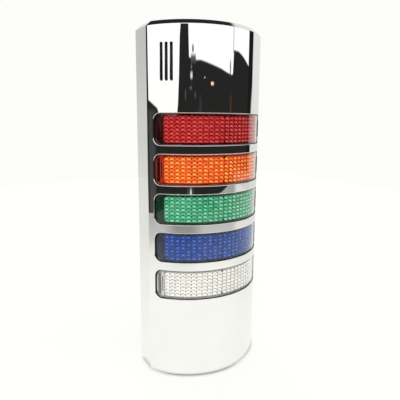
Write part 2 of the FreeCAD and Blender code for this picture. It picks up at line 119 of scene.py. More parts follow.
def addStrip(skin, lineA, lineB, closed=False, finish=0):
    # quads between two lines of (point, normal) pairs
    for i in range(0 if closed else 1, len(lineA)):
        corners = [lineA[i - 1], lineA[i], lineB[i], lineB[i - 1]]
        addFace(skin, [c[0] for c in corners], [c[1] for c in corners], finish)


def addStrips(skin, lines, closed=False, finish=0):
    for lineA, lineB in zip(lines, lines[1:]):
        addStrip(skin, lineA, lineB, closed, finish)


def skinObject(name, skin, finishes, node):
    # one mesh that stands for a CAD node and rides where it rides
    mesh = bpy.data.meshes.new(name)
    mesh.from_pydata(skin["points"], [], skin["faces"])
    for finish in finishes:
        mesh.materials.append(finish)
    mesh.polygons.foreach_set("material_index", skin["finishes"])
    mesh.polygons.foreach_set("use_smooth", [True] * len(mesh.polygons))
    mesh.update()
    mesh.normals_split_custom_set(skin["normals"])
    piece = bpy.data.objects.new(name, mesh)
    bpy.context.scene.collection.objects.link(piece)
    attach(piece, "housing")
    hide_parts(node)


# Places on the curved front: "along" is measured on the outer face, from the crown to the right, and
# depth is below that face.
def onFront(along, z, depth=0.0):
    angle = along / frontRadius
    radius = frontRadius - depth
    return Vector((radius * math.sin(angle), arcY - radius * math.cos(angle), z))


def outward(along):
    return Vector((math.sin(along / frontRadius), -math.cos(along / frontRadius), 0))


def rightward(along):
    return Vector((math.cos(along / frontRadius), math.sin(along / frontRadius), 0))


def sideways(along, away):
    # an outline's own direction away from its middle, at a place on the front
    return rightward(along) * away.x + Vector((0, 0, away.y))


def roundedOutline(middle, half, corner, cornerSteps, sideStep):
    # (along, z, direction away from the middle) round a rectangle with round corners
    outline = []
    for quarter, (signA, signZ) in enumerate([(1, 1), (-1, 1), (-1, -1), (1, -1)]):
        for k in range(cornerSteps + 1):
            angle = math.radians(90 * (quarter + k / cornerSteps))
            away = Vector((math.cos(angle), math.sin(angle)))
            outline.append((middle[0] + signA * (half[0] - corner) + corner * away.x,
                            middle[1] + signZ * (half[1] - corner) + corner * away.y, away))
        run = 2 * (half[0] - corner) if quarter % 2 == 0 else 2 * (half[1] - corner)
        parts = max(1, round(run / sideStep))
        ahead = Vector((-away.y, away.x))
        lastA, lastZ, _ = outline[-1]
        for k in range(1, parts):
            outline.append((lastA + ahead.x * run * k / parts, lastZ + ahead.y * run * k / parts, away))
    # rounded, so that the points of a straight side stand exactly in line
    return [(round(a, 4), round(z, 4), away) for a, z, away in outline]


def grown(outline, amount):
    return [(a + away.x * amount, z + away.y * amount, away) for a, z, away in outline]


def insideOutline(a, z, outline):
    inside = False
    for i in range(len(outline)):
        aOne, zOne = outline[i][:2]
        aTwo, zTwo = outline[i - 1][:2]
        if (zOne > z) != (zTwo > z) and a < (aTwo - aOne) * (z - zOne) / (zTwo - zOne) + aOne:
            inside = not inside
    return inside


def trianglesBetween(border, holes, inner=()):
    # fills a flat border, by way of its inner points, and leaves the holes open
    points = []
    edges = []
    for outline in [border] + holes:
        first = len(points)
        count = len(outline)
        points += [Vector(p[:2]) for p in outline]
        edges += [(first + i, first + (i + 1) % count) for i in range(count)]
    points += [Vector(p) for p in inner]
    found, _, faces, _, _, _ = delaunay_2d_cdt(points, edges, [], 1, 1e-5)
    kept = []
    for face in faces:
        a, z = sum((found[i] for i in face), Vector((0, 0))) / len(face)
        if insideOutline(a, z, border) and not any(insideOutline(a, z, hole) for hole in holes):
            kept.append(face)
    return found, kept


def addFlat(skin, border, holes, place, facing):
    # flat plate between an outline and its holes; place turns (a, b) into a point
    found, faces = trianglesBetween(border, holes)
    for face in faces:
        addFace(skin, [place(*found[i]) for i in face], [facing] * len(face))


def addCurved(skin, found, faces, depth, side, finish=0):
    # triangles laid on the curve at one depth; side is 1 where they face out and -1 where they face in
    for face in faces:
        addFace(skin, [onFront(*found[i], depth) for i in face],
                [outward(found[i][0]) * side for i in face], finish)


# the chrome front cover
coverShape = {
    "alongParts": 22,         # from the crown to a crease
    "creaseParts": 6,
    "sideParts": 4,
    "rows": 52,
    "lipSteps": 4,
    "clearRound": 0.7,        # mesh points keep this far from an opening
    "windowSteps": 10,        # in a corner of a window
    "windowStep": 2.0,        # along its sides, in mm
    "slotCount": 3,
    "slotWidth": 1.5,
    "slotLength": 20.8,
    "slotPitch": 3.0,
    "slotAngle": -44.1,       # from the crown, in degrees
    "slotTopDrop": 12.5,
    "slotLip": 0.25,
    "slotTip": 0.01,          # flat left in the middle of a slot's round ends
    "slotSteps": 6,
    "slotStep": 4.0,
    "edgeRadius": 0.35,       # softening at both edges of a bevel
    "screwSide": 24.0,
    "screwBack": 11.5,        # wall plane to a screw's middle
    "screwParts": 32,
    "counterboreRadius": 2.8,
    "counterboreDepth": 1.9,
    "clearanceRadius": 1.55,
}
# the walls of the openings are painted near black: painted shade in the gaps round the lenses and inside the
# slots
shadedWallFinish = 1                # the second of the cover's finishes, on the walls of its openings


def coverHoles():
    # outline and lip radius of each window and slot
    shape = coverShape
    holes = []
    for middle in tierMiddles:
        outline = roundedOutline((0, middle), (windowHalf, window["halfHeight"]), window["corner"],
                                 shape["windowSteps"], shape["windowStep"])
        holes.append((outline, window["lip"]))
    top = body["height"] - shape["slotTopDrop"]
    half = (shape["slotWidth"] / 2, shape["slotLength"] / 2)
    for index in range(shape["slotCount"]):
        along = math.radians(shape["slotAngle"]) * frontRadius
        along += (index - (shape["slotCount"] - 1) / 2) * shape["slotPitch"]
        outline = roundedOutline((along, top - half[1]), half, half[0] - shape["slotTip"],
                                 shape["slotSteps"], shape["slotStep"])
        holes.append((outline, shape["slotLip"]))
    return holes


def coverSection(inset, creaseRadius):
    # half section from the crown to the right rear corner, as (x, y, normal)
    radius = frontRadius - inset
    half = body["halfWidth"] - inset
    cornerX = half - creaseRadius
    cornerY = arcY - math.sqrt((radius - creaseRadius) ** 2 - cornerX ** 2)
    creaseStart = math.atan2(cornerX, arcY - cornerY)
    line = []
    for k in range(coverShape["alongParts"] + 1):
        angle = creaseStart * k / coverShape["alongParts"]
        facing = Vector((math.sin(angle), -math.cos(angle), 0))
        line.append((radius * facing.x, arcY + radius * facing.y, facing))
    for k in range(1, coverShape["creaseParts"] + 1):
        angle = creaseStart + (math.pi / 2 - creaseStart) * k / coverShape["creaseParts"]
        facing = Vector((math.sin(angle), -math.cos(angle), 0))
        line.append((cornerX + creaseRadius * facing.x, cornerY + creaseRadius * facing.y, facing))
    for k in range(1, coverShape["sideParts"] + 1):
        y = cornerY + (body["rearY"] - cornerY) * k / coverShape["sideParts"]
        line.append((half, y, Vector((1, 0, 0))))
    return line


def wholeSection(inset, creaseRadius):
    right = coverSection(inset, creaseRadius)
    left = [(-x, y, Vector((-facing.x, facing.y, 0))) for x, y, facing in reversed(right[1:])]
    return left + right


def addShell(skin, depth, creaseRadius, zLow, zHigh, outlines, side):
    # curved front with its openings, creases and flat sides; side is 1 outside and -1 inside
    section = wholeSection(depth, creaseRadius)
    crown = len(section) // 2
    first, last = crown - coverShape["alongParts"], crown + coverShape["alongParts"]
    arc = [math.atan2(x, arcY - y) * frontRadius for x, y, _ in section[first:last + 1]]
    levels = [zLow + (zHigh - zLow) * k / coverShape["rows"] for k in range(coverShape["rows"] + 1)]
    border = [(a, zLow) for a in arc] + [(arc[-1], z) for z in levels[1:-1]]
    border += [(a, zHigh) for a in reversed(arc)] + [(arc[0], z) for z in reversed(levels[1:-1])]
    near = [grown(outline, coverShape["clearRound"]) for outline in outlines]
    inner = [(a, z) for z in levels[1:-1] for a in arc[1:-1]
             if not any(insideOutline(a, z, outline) for outline in near)]
    addCurved(skin, *trianglesBetween(border, outlines, inner), depth, side)
    lines = [[(Vector((x, y, z)), facing * side) for x, y, facing in section] for z in levels]
    for lower, upper in zip(lines, lines[1:]):
        addStrip(skin, lower[:first + 1], upper[:first + 1])
        addStrip(skin, lower[last:], upper[last:])
    return lines


def addOpening(skin, outline, lip):
    # rounded lip and wall of a window or a slot
    rings = []
    for k in range(coverShape["lipSteps"] + 1):
        turn = math.radians(90 * k / coverShape["lipSteps"])
        ring = []
        for a, z, away in grown(outline, lip * (1 - math.sin(turn))):
            facing = outward(a) * math.cos(turn) - sideways(a, away) * math.sin(turn)
            ring.append((onFront(a, z, lip * (1 - math.cos(turn))), facing))
        rings.append(ring)
    addStrips(skin, rings, closed=True)
    back = [(onFront(a, z, body["wall"]), facing) for (a, z, _), (_, facing) in zip(outline, rings[-1])]
    # the wall takes the near-black painted shade finish
    addStrip(skin, rings[-1], back, closed=True, finish=shadedWallFinish)


def addBevel(skin, start, flat, towards, drop, inset):
    # bevel with both edges softened, from the shell's last line to the end face's own edge
    edge = coverShape["edgeRadius"]
    straight, endward = Vector((1, 0)), Vector((0, 1))
    lean = Vector((drop, inset)).normalized()
    # each station: inwards, towards the end, and the way it faces; shares of the radius round it off
    stations = [
        (edge * lean.y * 0.4, edge * lean.x * 0.9, (straight + lean).normalized()),
        (edge * lean.y * 1.4, edge * lean.x * 1.9, lean),
        (inset - edge * lean.y, drop - edge * lean.x, lean),
        (inset - edge * 0.1, drop - edge * 0.08, (endward + lean).normalized()),
        (inset + edge * 0.9, drop, endward),
    ]
    rings = [start]
    for inwards, along, tilt in stations:
        z = flat + towards * along
        leaning = Vector((0, 0, towards * tilt.y))
        rings.append([(Vector((x, y, z)), facing * tilt.x + leaning)
                      for x, y, facing in wholeSection(inwards, body["creaseRadius"])])
    addStrips(skin, rings)
    return rings


def addScrewHole(skin, middle, turns):
    # counterbore, its floor, and the clearance hole through the wall of the foot
    wide, narrow = coverShape["counterboreRadius"], coverShape["clearanceRadius"]
    floor = coverShape["counterboreDepth"]
    path = [(wide, 0), (wide, floor), (narrow, floor), (narrow, body["wall"])]
    for start, end in zip(path, path[1:]):
        isFloor = start[1] == end[1]
        lines = [[(Vector((*(middle + turn * radius), z)),
                   Vector((0, 0, -1)) if isFloor else Vector((-turn.x, -turn.y, 0))) for turn in turns]
                 for radius, z in (start, end)]
        addStrip(skin, *lines, closed=True)


def addEndFaces(skin, outerRing, innerRing, end, towards, screws, turns):
    # the end face with its counterbores, the screw holes, and the same face inside
    def holes(radius):
        return [[middle + turn * radius for turn in turns] for middle in screws]

    innerZ = innerRing[0][0].z
    addFlat(skin, [point.xy for point, _ in outerRing], holes(coverShape["counterboreRadius"]),
            lambda a, b: Vector((a, b, end)), Vector((0, 0, towards)))
    for middle in screws:
        addScrewHole(skin, middle, turns)
    addFlat(skin, [point.xy for point, _ in innerRing], holes(coverShape["clearanceRadius"]),
            lambda a, b: Vector((a, b, innerZ)), Vector((0, 0, -towards)))


def rimEdge(lower, lines, upper):
    # the (x, z) edge that a shell and its bevels leave at the wall plane, once round
    lines = lower + lines[1:-1] + upper
    left = [line[0][0] for line in lines]
    right = [line[-1][0] for line in reversed(lines)]
    return [(p.x, p.z) for p in left + right]


def makeFrontCover(finishes):
    skin = newSkin()
    wall = body["wall"]
    holes = coverHoles()
    lowFlat, highFlat = body["footDrop"], body["height"] - body["bevelDrop"]
    outside = addShell(skin, 0, body["creaseRadius"], lowFlat, highFlat,
                       [grown(outline, lip) for outline, lip in holes], 1)
    inside = addShell(skin, wall, body["innerCrease"], wall, body["height"] - wall,
                      [outline for outline, _ in holes], -1)
    for outline, lip in holes:
        addOpening(skin, outline, lip)
    parts = coverShape["screwParts"]
    turns = [Vector((math.cos(math.tau * k / parts), math.sin(math.tau * k / parts))) for k in range(parts)]
    screwY = body["rearY"] - coverShape["screwBack"]
    screws = [Vector((side * coverShape["screwSide"], screwY)) for side in (-1, 1)]
    foot = addBevel(skin, outside[0], lowFlat, -1, body["footDrop"], body["footInset"])
    addEndFaces(skin, foot[-1], inside[0], 0.0, -1, screws, turns)
    top = addBevel(skin, outside[-1], highFlat, 1, body["bevelDrop"], body["bevelInset"])
    addEndFaces(skin, top[-1], inside[-1], body["height"], 1, [], turns)
    # the rear rim, between the outer and the inner edge
    outerRim = rimEdge(foot[::-1], outside, top)
    innerRim = rimEdge(inside[:1], inside, inside[-1:])
    addFlat(skin, outerRim, [innerRim], lambda a, b: Vector((a, body["rearY"], b)), Vector((0, 1, 0)))
    skinObject("frontCover", skin, finishes, "front_cover")


# A coloured window is a clear skin, and behind it a plate of small pyramids in a plain border. All
# depths are below the cover's face.
lensShape = {
    "gap": 0.35,              # above and below a lens, in its window
    "endGap": 0.8,            # and at its ends
    "recess": 0.65,
    "edgeRadius": 0.3,
    "edgeTurns": (0, 30, 60, 90),
    "back": 1.7,
    "cornerSteps": 8,
    "step": 1.9,
    "rows": (-6, -2, 2, 6),   # heights of the mesh points inside its outline, from the middle
    "clear": 0.8,             # which keep this far from its edge
}
opticShape = {
    "columns": 22,
    "rows": 8,                # half a row more than shows is under the border, above and below
    "endBand": 5.8,           # plain band at each end of a window
    "sideBand": 1.45,         # and above and below
    "borderCorner": 2.4,
    "borderFront": 1.74,
    "peak": 1.78,
    "valley": 2.3,
    "back": 2.75,
    "cut": (0.20, 0.24),      # share of a cell's side that its cut corners take, along and up
    "zigzag": 0.24,           # rise of each row's edge at the middle of a cell, as a share of its height
    "ridge": 0.20,            # half length of a cell's ridge, as a share of its width
    # painted shade: the dots where four cells meet are darker, and darkest in these columns
    "shadeDotColumns": (5, 6, 9, 10, 13, 14, 17, 18),    # the dots between cells are dark here
    # cells whose upper facets take the painted highlight tone
    "highlightSteps": (5, 3, 7, 1),  # steps by column and by row, cycle, and the last place in it that stays plain
    # painted shade and highlight towards the right end: left facets take the painted shade tone, right ones
    # the painted highlight tone
    "sideTurn": 0.3,          # share of the columns after which left facets go deep,
    "sideEvery": 3,           # but for one cell in this many,
    "sideDeep": 0.5,          # and share after which all of them do and right ones are bright
    "edgeGap": 0.5,           # round the plate, in the window
    "edgeSteps": 8,
    "holeSteps": 6,
    "step": 2.0,
    "blockStep": 1.4,
    "layer": 0.01,            # each strip stands this much before the one under it
    "notch": (0.6, 1.1),      # half width and height of the tab at the middle, above and below
    "notchLap": 0.3,
    # upright strips in the end bands: from and to, measured from the window's end, half height, finish
    "endStrips": [(0.35, 1.5, 5.2, "strip"), (1.7, 3.5, 7.0, "dark"), (3.7, 5.7, 7.7, "strip"),
                  (4.4, 5.0, 4.6, "dark")],
    "lugRoot": 3.0,           # the lugs at the ends hold the plate behind the cover
    "lugLap": 2.0,
    "lugHalf": 4.5,
    "lugFront": 2.6,
    "lugBack": 4.1,
    "neckLap": 0.3,
}
# bright and deep are painted highlight and painted shade copies of the prism tone; dot and dark paint shade
# where cells meet, and dark also colours the end strips and tabs
opticTones = ["prism", "dark", "border", "dot", "strip", "bright", "deep"]      # the plate's finishes
toneNumber = {name: number for number, name in enumerate(opticTones)}


def addPlate(skin, edge, hole, front, back, tone):
    # curved plate between two depths, with one hole
    found, faces = trianglesBetween(edge, [hole])
    for depth, side in ((front, 1), (back, -1)):
        addCurved(skin, found, faces, depth, side, toneNumber[tone])
    for outline, side in ((edge, 1), (hole, -1)):
        lines = [[(onFront(a, z, depth), sideways(a, away) * side) for a, z, away in outline]
                 for depth in (front, back)]
        addStrip(skin, *lines, closed=True, finish=toneNumber[tone])


def addBlock(skin, along, z, depth, tone):
    # curved block; along, z and depth are (from, to)
    finish = toneNumber[tone]
    parts = max(1, math.ceil((along[1] - along[0]) / opticShape["blockStep"]))
    stops = [along[0] + (along[1] - along[0]) * k / parts for k in range(parts + 1)]
    for side, down in ((1, depth[0]), (-1, depth[1])):
        lines = [[(onFront(a, level, down), outward(a) * side) for a in stops] for level in z]
        addStrip(skin, *lines, finish=finish)
    for side, level in ((-1, z[0]), (1, z[1])):
        lines = [[(onFront(a, level, down), Vector((0, 0, side))) for a in stops] for down in depth]
        addStrip(skin, *lines, finish=finish)
    for side, a in ((-1, along[0]), (1, along[1])):
        corners = [onFront(a, z[0], depth[0]), onFront(a, z[1], depth[0]),
                   onFront(a, z[1], depth[1]), onFront(a, z[0], depth[1])]
        addFace(skin, corners, [rightward(a) * side] * 4, finish)


def makeLens(colour, middle, finish):
    skin = newSkin()
    shape = lensShape
    step = shape["step"]
    radius = shape["edgeRadius"]
    half = (windowHalf - shape["endGap"], window["halfHeight"] - shape["gap"])
    outline = roundedOutline((0, middle), half, window["corner"] - shape["gap"], shape["cornerSteps"], step)
    reach = int(windowHalf / step)
    clear = grown(outline, -radius - shape["clear"])
    inner = [(i * step, middle + z) for i in range(-reach, reach + 1) for z in shape["rows"]
             if insideOutline(i * step, middle + z, clear)]
    for growth, depth, side in ((-radius, shape["recess"], 1), (0, shape["back"], -1)):
        addCurved(skin, *trianglesBetween(grown(outline, growth), [], inner), depth, side)
    rings = []
    for turn in shape["edgeTurns"]:
        lean = math.radians(turn)
        ring = []
        for a, z, away in grown(outline, radius * (math.sin(lean) - 1)):
            facing = outward(a) * math.cos(lean) + sideways(a, away) * math.sin(lean)
            ring.append((onFront(a, z, shape["recess"] + radius * (1 - math.cos(lean))), facing))
        rings.append(ring)
    rings.append([(onFront(a, z, shape["back"]), facing)
                  for (a, z, _), (_, facing) in zip(outline, rings[-1])])
    addStrips(skin, rings, closed=True)
    skinObject(colour + "Lens", skin, [finish], "lens_" + colour)


def opticCell():
    # half sizes of the field of cells, and the sizes of one cell
    halfAlong = windowHalf - opticShape["endBand"]
    halfUp = window["halfHeight"] - opticShape["sideBand"]
    wide = 2 * halfAlong / opticShape["columns"]
    high = 2 * halfUp / (opticShape["rows"] - 1)
    return {"halfAlong": halfAlong, "halfUp": halfUp, "wide": wide, "high": high,
            "rise": opticShape["zigzag"] * high,
            "cutAlong": opticShape["cut"][0] * wide, "cutUp": opticShape["cut"][1] * high}


def levelEdge(cell, left, z):
    # a row's zigzag edge over one cell, from its right corner to its left
    wide, rise, cut = cell["wide"], cell["rise"], cell["cutAlong"]
    near = rise * 2 * cut / wide
    return [(left + wide, z), (left + wide - cut, z + near), (left + wide / 2, z + rise),
            (left + cut, z + near), (left, z)]


def facetTones(column, row):
    # tones of a cell's ten facets, anticlockwise from the one at the upper right, and of its two middle ones
    shape = opticShape
    byColumn, byRow, cycle, plainOnes = shape["highlightSteps"]
    # bright is a painted highlight on the upper facets of some cells, deep a painted shade on the lower ones
    upper = "bright" if (column * byColumn + row * byRow) % cycle > plainOnes else "prism"
    tones = ["prism", upper, upper, "prism", "prism", "prism", "deep", "deep", "prism", "prism"]
    if column >= shape["columns"] * shape["sideTurn"]:
        tones[4] = "deep" if (column + row) % shape["sideEvery"] else "prism"
    if column >= shape["columns"] * shape["sideDeep"]:
        tones[4], tones[5], tones[9] = "deep", "deep", "bright"
    return tones, (upper, "deep")


def addFlatFace(skin, points, facing, tone="prism"):
    normal = (points[1] - points[0]).cross(points[2] - points[0])
    normal = normal if normal.dot(facing) > 0 else -normal
    addFace(skin, points, [normal] * len(points), toneNumber[tone])


def addCell(skin, cell, column, row, left, low):
    # hipped cell with cut corners, and its share of the dots on the floor where four cells meet
    shape = opticShape
    wide, high = cell["wide"], cell["high"]
    facing = outward(left + wide / 2)
    upper = levelEdge(cell, left, low + high)
    lower = levelEdge(cell, left, low)[::-1]
    rightSide = [(left + wide, low + cell["cutUp"]), (left + wide, low + high - cell["cutUp"])]
    leftSide = [(left, low + high - cell["cutUp"]), (left, low + cell["cutUp"])]
    edge = upper[1:4] + leftSide + lower[1:4] + rightSide
    ridgeZ = low + high / 2 + cell["rise"] / 2
    ridge = [onFront(left + wide * (0.5 + side * shape["ridge"]), ridgeZ, shape["peak"]) for side in (-1, 1)]
    floor = [onFront(a, z, shape["valley"]) for a, z in edge]
    tones, middleTones = facetTones(column, row)
    for i in range(len(edge)):
        isRight = (edge[i - 1][0] + edge[i][0]) / 2 > left + wide / 2
        addFlatFace(skin, [floor[i - 1], floor[i], ridge[1 if isRight else 0]], facing, tones[i])
    for middlePoint, tone in zip((floor[1], floor[6]), middleTones):
        addFlatFace(skin, [middlePoint, ridge[0], ridge[1]], facing, tone)
    # the dots where four cells meet are painted shade
    corners = [(upper[0], rightSide[1], upper[1], column + 1), (upper[4], upper[3], leftSide[0], column),
               (lower[0], leftSide[1], lower[1], column), (lower[4], lower[3], rightSide[0], column + 1)]
    for *points, line in corners:
        addFlatFace(skin, [onFront(*p, shape["valley"]) for p in points], facing,
                    "dark" if line in shape["shadeDotColumns"] else "dot")
    outlineBack = upper + leftSide + lower + rightSide
    addFlatFace(skin, [onFront(a, z, shape["back"]) for a, z in outlineBack], -facing)


def addField(skin, cell, middle):
    # all the cells of a plate, and the walls round them
    shape = opticShape
    halfAlong, halfUp, wide, high = (cell[name] for name in ("halfAlong", "halfUp", "wide", "high"))
    depths = (shape["valley"], shape["back"])
    rowLows = [middle - halfUp + (row - 0.5) * high for row in range(shape["rows"])]
    for column in range(shape["columns"]):
        left = -halfAlong + column * wide
        for row, low in enumerate(rowLows):
            addCell(skin, cell, column, row, left, low)
        for side, z in ((-1, middle - halfUp - high / 2), (1, middle + halfUp + high / 2)):
            edge = levelEdge(cell, left, z)
            addStrip(skin, *[[(onFront(a, level, depth), Vector((0, 0, side))) for a, level in edge]
                             for depth in depths])
    stops = [z for low in rowLows for z in (low, low + cell["cutUp"], low + high - cell["cutUp"])]
    stops.append(middle + halfUp + high / 2)
    for side in (-1, 1):
        a = side * halfAlong
        addStrip(skin, *[[(onFront(a, z, depth), rightward(a) * side) for z in stops] for depth in depths])


def addBorder(skin, cell, middle):
    # border plate with round corners, its end strips and the tabs at the middle
    shape = opticShape
    halfAlong, halfUp = cell["halfAlong"], cell["halfUp"]
    gap = shape["edgeGap"]
    front = shape["borderFront"]
    edge = roundedOutline((0, middle), (windowHalf - gap, window["halfHeight"] - gap), window["corner"] - gap,
                          shape["edgeSteps"], shape["step"])
    hole = roundedOutline((0, middle), (halfAlong, halfUp), shape["borderCorner"],
                          shape["holeSteps"], shape["step"])
    addPlate(skin, edge, hole, front, shape["back"], "border")
    for index, (near, far, reach, tone) in enumerate(shape["endStrips"]):
        depth = (front - shape["layer"] * (index + 1), shape["valley"])
        for along in ((-windowHalf + near, -windowHalf + far), (windowHalf - far, windowHalf - near)):
            addBlock(skin, along, (middle - reach, middle + reach), depth, tone)
    halfNotch, notchHeight = shape["notch"]
    lap = shape["notchLap"]
    for z in ((middle + halfUp - notchHeight, middle + halfUp + lap),
              (middle - halfUp - lap, middle - halfUp + notchHeight)):
        addBlock(skin, (-halfNotch, halfNotch), z, (front - shape["layer"], shape["valley"]), "dark")


def addLugs(skin, middle):
    shape = opticShape
    height = (middle - shape["lugHalf"], middle + shape["lugHalf"])
    for side in (-1, 1):
        root = side * (windowHalf - shape["lugRoot"])
        foot = sorted((root, side * (windowHalf + shape["lugLap"])))
        neck = sorted((root, side * (windowHalf - shape["edgeGap"])))
        addBlock(skin, foot, height, (shape["lugFront"], shape["lugBack"]), "border")
        addBlock(skin, neck, height, (shape["valley"], shape["lugFront"] + shape["neckLap"]), "border")


def makeOptic(colour, middle, finishes):
    skin = newSkin()
    cell = opticCell()
    addField(skin, cell, middle)
    addBorder(skin, cell, middle)
    addLugs(skin, middle)
    skinObject(colour + "Optic", skin, finishes, "lens_" + colour)


# adds a shader node; its inputs are values or the sockets that feed them
def addNode(tree, kind, inputs=None, **settings):
    node = tree.nodes.new("ShaderNode" + kind)
    for name, value in settings.items():
        setattr(node, name, value)
    for name, value in (inputs or {}).items():
        if isinstance(value, bpy.types.NodeSocket):
            tree.links.new(value, node.inputs[name])
        else:
            node.inputs[name].default_value = value
    return node


def mathOf(tree, operation, first, second=0.0):
    return addNode(tree, "Math", {0: first, 1: second}, operation=operation).outputs[0]


def fade(tree, value, start, end, low=0.0, high=1.0):
    # low before start, high after end
    ranges = {"Value": value, "From Min": start, "From Max": end, "To Min": low, "To Max": high}
    return addNode(tree, "MapRange", ranges, interpolation_type="SMOOTHSTEP").outputs["Result"]


def blendOf(tree, factor, first, second):
    return addNode(tree, "Mix", {0: factor, 2: first, 3: second}, data_type="FLOAT").outputs[0]


def colourBlend(tree, factor, first, second):
    inputs = {0: factor, 6: first, 7: second}
    for place in (6, 7):
        if isinstance(inputs[place], tuple):
            inputs[place] = (*inputs[place], 1)
    return addNode(tree, "Mix", inputs, data_type="RGBA").outputs[2]


def addRamp(tree, factor, stops):
    ramp = addNode(tree, "ValToRGB", {0: factor})
    line = ramp.color_ramp
    line.elements[0].position, line.elements[1].position = stops[0][0], stops[-1][0]
    for place, _ in stops[1:-1]:
        line.elements.new(place)
    for stop, (place, tone) in zip(line.elements, stops):
        stop.position = place
        stop.color = (*tone, 1) if isinstance(tone, tuple) else (tone, tone, tone, 1)
    return ramp.outputs["Color"]


# The room is painted on the world by direction: azimuth in degrees from straight ahead of the
# crown, to the right, and elevation above the horizon.
studio = {
    "backdrop": (0.982, 0.982, 0.947),
    "plainLevel": 0.92,       # light on matt surfaces, the same from everywhere
    "room": 0.020,
    "ceiling": 1.12,
    "ceilingSoft": 0.3,
    "lowWarmth": 0.94,        # blue share of what stands below the horizon
    "warmthReach": (-8.0, 12.0),                     # elevations between which it turns neutral
    # where the white ceiling starts, azimuth to elevation
    "skyline": [(-180, -2), (-101, -2), (-99, 90), (-97, 90), (-95, 2.7), (-84, 2.0), (-78.5, 1.6),
                (-76, 0.9), (-62, 0.7), (-47, 0.6), (-45.4, 1.5), (-43.6, 5.5), (-42.6, 7.6), (-42.0, 12.1),
                (-39, 12.6), (-31, 12.6), (-28.9, 12.1), (-28.3, 8.1), (-17, 7.75), (-10.7, 7.78),
                (-0.4, 7.5), (10.3, 7.15), (21.4, 6.75), (33.2, 6.2), (43.5, 5.85), (44.8, 8.95), (55, 8.75),
                (64, 8.2), (71, 7.65), (80.3, 6.9), (180, 6.9)],
    # soft-edged cards over that: azimuths, elevations, level at the bottom and the top, edge widths
    "cards": [
        ((-97, -80), (-30, 2.0), (0.10, 0.06), (5, 1)),             # dark corner at the left
        ((-26.2, -17.2), (7.2, 8.9), (0.06, 0.14), (1.4, 0.7)),     # dark things that stand over the skyline
        ((-24.2, -20.8), (8.6, 10.0), (0.10, 0.25), (0.8, 0.5)),
        ((-26.5, -22.6), (5.4, 6.7), (1.0, 0.6), (0.8, 0.5)),       # a bright one under them
        ((-25.6, -23.6), (6.6, 7.6), (0.25, 0.15), (0.8, 0.4)),
        ((37, 40.4), (5.4, 8.4), (0.04, 0.04), (1.5, 1.2)),         # post at the right, and a grey edge
        ((43.2, 45.0), (8.5, 13), (0.42, 0.42), (0.5, 0.4)),
        ((-14, -7), (-3, 4.0), (0.05, 0.035), (3, 1.5)),            # dim things deep in the room
        ((-34.5, -32.3), (2.6, 4.4), (0.12, 0.12), (0.9, 0.7)),
        ((-28, -23), (4.1, 4.7), (0.16, 0.16), (1.5, 0.3)),
        ((-20, -17.5), (2.8, 4.1), (0.12, 0.12), (0.9, 0.7)),
        ((-5.0, -3.2), (5.6, 5.9), (0.7, 0.7), (0.5, 0.1)),         # small bright bar
        ((-33, -18), (-11.5, -8.4), (0.16, 0.06), (6, 1)),          # at the table's edge
        ((-26.2, -23.4), (-11.6, -8.7), (1.0, 0.9), (0.8, 0.8)),
        ((78.8, 92.8), (-6, 91), (0.012, 0.012), (0.6, 1)),         # dark right side, pale wall past it
        ((89, 93), (-20, 5), (0.75, 0.75), (1, 4)),
        ((92, 150), (-90, 91), (0.72, 0.82), (1, 1)),
        ((50, 94), (-30, -6.4), (0.66, 0.70), (5, 0.6)),
        ((-146, -97), (-10, 91), (0.012, 0.012), (2, 7)),           # dark left side
        ((-186, -146), (-90, 91), (0.93, 0.57), (3, 1)),            # pale walls behind
        ((146, 186), (-90, 91), (0.93, 0.57), (3, 1)),
        ((146, 186), (16, 60), (0.85, 0.85), (3, 6)),
        ((96, 190), (44, 91), (0.02, 0.02), (6, 6)),                # dark ceiling behind
        ((-190, -96), (44, 91), (0.02, 0.02), (6, 6)),
    ],
    "cardLevels": (-30, 14),  # lowest and highest elevation between which a card's level changes
    # small coloured lights: azimuth, elevation, half sizes and colour
    "glows": [
        (8.2, 4.95, (2.6, 0.28), (1.0, 0.62, 0.30)),
        (7.0, 5.02, (1.3, 0.16), (1.0, 0.95, 0.80)),
        (40.5, 2.0, (1.8, 1.8), (0.10, 0.030, 0.020)),
    ],
    "glowEdge": (1.3, 0.4),   # squared half sizes between which a glow fades in
}


def roomLevel(tree, azimuth, elevation):
    # dark room up to the skyline, white ceiling over it, and the cards over both
    around = mathOf(tree, "DIVIDE", mathOf(tree, "ADD", azimuth, 180.0), 360.0)
    stops = [((a + 180) / 360, (e + 90) / 180) for a, e in studio["skyline"]]
    skyline = mathOf(tree, "SUBTRACT", mathOf(tree, "MULTIPLY", addRamp(tree, around, stops), 180.0), 90.0)
    above = mathOf(tree, "SUBTRACT", elevation, skyline)
    level = fade(tree, above, 0.0, studio["ceilingSoft"], studio["room"], studio["ceiling"])
    lowest, highest = studio["cardLevels"]
    for (lowA, highA), (lowE, highE), levels, (softA, softE) in studio["cards"]:
        left, right = fade(tree, azimuth, lowA, lowA + softA), fade(tree, azimuth, highA, highA - softA)
        covers = mathOf(tree, "MULTIPLY", left, right)
        covers = mathOf(tree, "MULTIPLY", covers, fade(tree, elevation, lowE, lowE + softE))
        covers = mathOf(tree, "MULTIPLY", covers, fade(tree, elevation, highE, highE - softE))
        shade = fade(tree, elevation, max(lowE, lowest), max(min(highE, highest), lowE + 1), *levels)
        level = blendOf(tree, covers, level, shade)
    return level


